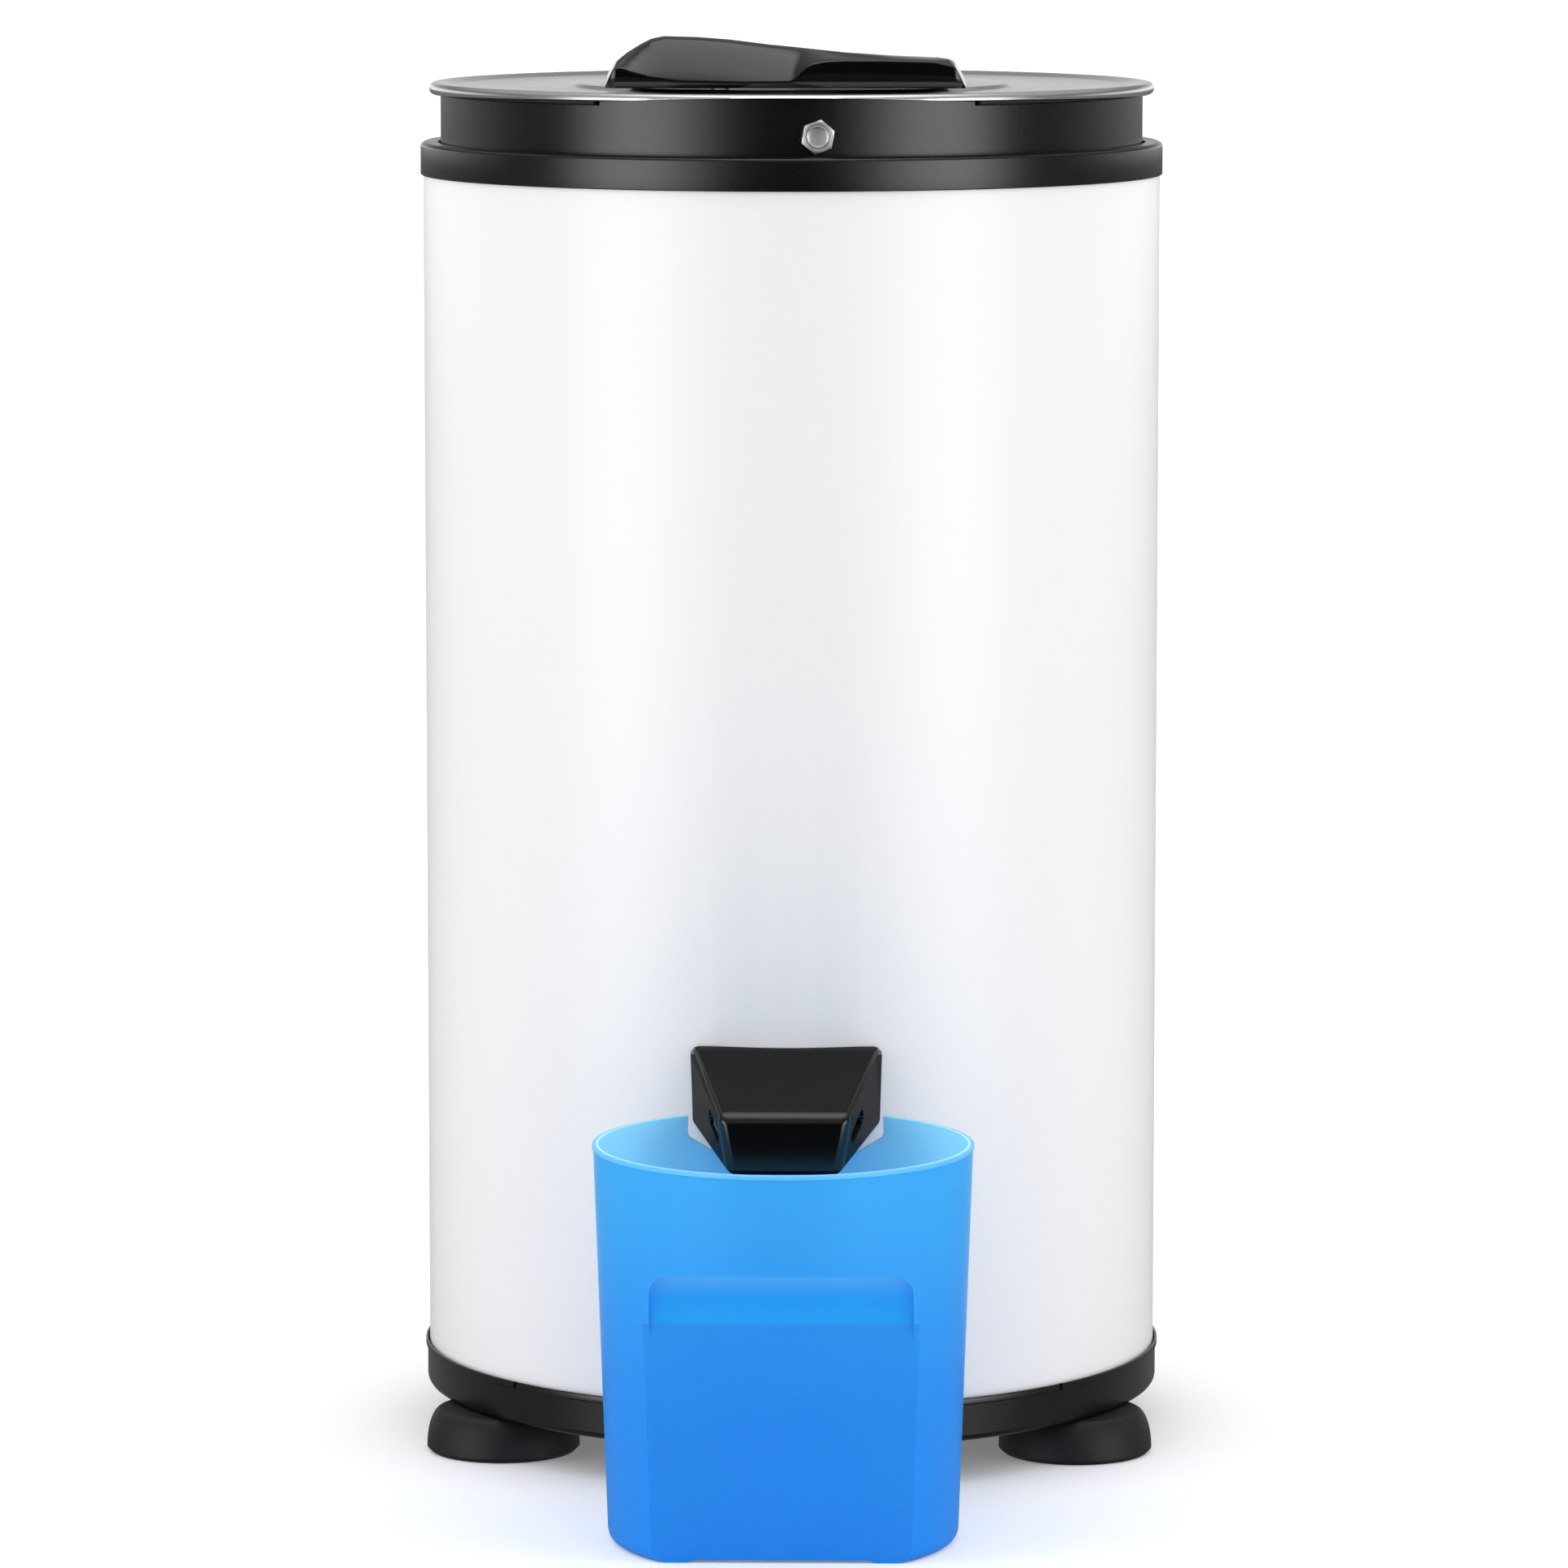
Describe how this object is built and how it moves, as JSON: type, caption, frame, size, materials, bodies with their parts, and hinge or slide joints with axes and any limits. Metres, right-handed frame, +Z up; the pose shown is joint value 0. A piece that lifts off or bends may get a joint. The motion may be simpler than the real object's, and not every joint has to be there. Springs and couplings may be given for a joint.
{
  "type": "spin dryer",
  "caption": "Top-loading gravity-drain spin dryer: white cylinder on rubber feet, hinged silver lid with a lever, spinning drum, front spout and a loose catch bucket.",
  "frame": {"origin": "centre of the whole object's footprint, on the floor under the feet", "axes": "+Z up, -Y towards the spout and bucket, +X to the right seen from the front"},
  "size_m": [0.3316, 0.51, 0.6274],
  "materials": {
    "white_enamel": "gloss enamel",
    "black_plastic": "satin moulded",
    "black_gloss": "high gloss moulded",
    "rubber": "soft matte",
    "lid_steel": "bright pressed sheet",
    "steel": "zinc plated",
    "drum_steel": "polished stainless sheet",
    "white_plastic": "moulded",
    "grey_plastic": "moulded",
    "motor_paint": "stove enamel",
    "blue_plastic": "frosted translucent"
  },
  "bodies": {
    "casing": {"base_pan": "black_plastic", "casing_shell": "white_enamel", "collar_ring": "black_plastic", "collar_band": "black_plastic", "hex_bolt": "steel", "latch_keeper": "steel", "lid_switch": "grey_plastic", "hinge_bracket": "black_plastic", "hinge_pin": "steel", "spout": "black_gloss", "cord_gland": "rubber", "capacitor": "white_plastic", "foot_rear": "rubber", "foot_left": "rubber", "foot_right": "rubber", "foot_screw_rear": "steel", "foot_screw_left": "steel", "foot_screw_right": "steel", "spout_screw_left": "steel", "spout_screw_right": "steel", "mount_post_rear": "steel", "mount_post_left": "steel", "mount_post_right": "steel", "mount_buffer_rear": "rubber", "mount_buffer_left": "rubber", "mount_buffer_right": "rubber", "mount_spring_rear": "steel", "mount_spring_left": "steel", "mount_spring_right": "steel", "carrier_plate": "steel", "tub": "grey_plastic", "mouth_seal": "rubber", "shaft_seal": "rubber", "drain_hose": "rubber", "motor_bell_upper": "motor_paint", "motor_bell_lower": "motor_paint", "motor_stator": "steel", "bearing_upper": "steel", "bearing_lower": "steel", "brake_pivot": "steel", "cable_stop": "steel", "brake_cable": "rubber"},
    "brake": {"brake_lever": "steel", "brake_pad": "rubber"},
    "drum": {"drum": "drum_steel", "drum_hub": "steel", "drive_shaft": "steel", "drum_nut": "steel", "hub_cap": "white_plastic", "motor_rotor": "steel", "brake_wheel": "steel"},
    "press_plate": {"press_plate": "white_plastic"},
    "lid": {"lid_pan": "lid_steel", "lid_liner": "white_plastic", "hinge_leaf": "black_plastic"},
    "lever": {"lid_handle": "black_gloss", "handle_pivot": "steel", "latch_tongue": "steel"},
    "plunger": {"switch_plunger": "white_plastic"},
    "bucket": {"bucket": "blue_plastic"}
  },
  "joints": [
    {"name": "lid_hinge", "type": "hinge", "parent": "casing", "child": "lid", "pos_m": [0, 0.2405, 0.594], "axis": [-1, 0, 0], "range_deg": [0, 95]},
    {"name": "lever_turn", "type": "hinge", "parent": "lid", "child": "lever", "pos_m": [-0.03, -0.006, 0.602], "axis": [0, 0, 1], "range_deg": [0, 16]},
    {"name": "drum_spin", "type": "hinge", "parent": "casing", "child": "drum", "pos_m": [0, 0.074, 0.2], "axis": [0, 0, 1], "continuous": true},
    {"name": "plate_lift", "type": "slide", "parent": "drum", "child": "press_plate", "axis": [0, 0, 1], "range_m": [0, 0.25]},
    {"name": "bucket_slide", "type": "slide", "parent": "casing", "child": "bucket", "axis": [0, -1, 0], "range_m": [0, 0.2]},
    {"name": "brake_swing", "type": "hinge", "parent": "casing", "child": "brake", "pos_m": [0.0418, 0.034, 0.036], "axis": [0, 0, -1], "range_deg": [0, 4]},
    {"name": "plunger_press", "type": "slide", "parent": "casing", "child": "plunger", "axis": [1, 0, 0], "range_m": [0, 0.002]}
  ],
  "couplings": [
    {"joint": "brake_swing", "follows": "lever_turn", "ratio": 0.25},
    {"joint": "plunger_press", "follows": "lever_turn", "m_per_rad": 0.00716}
  ]
}
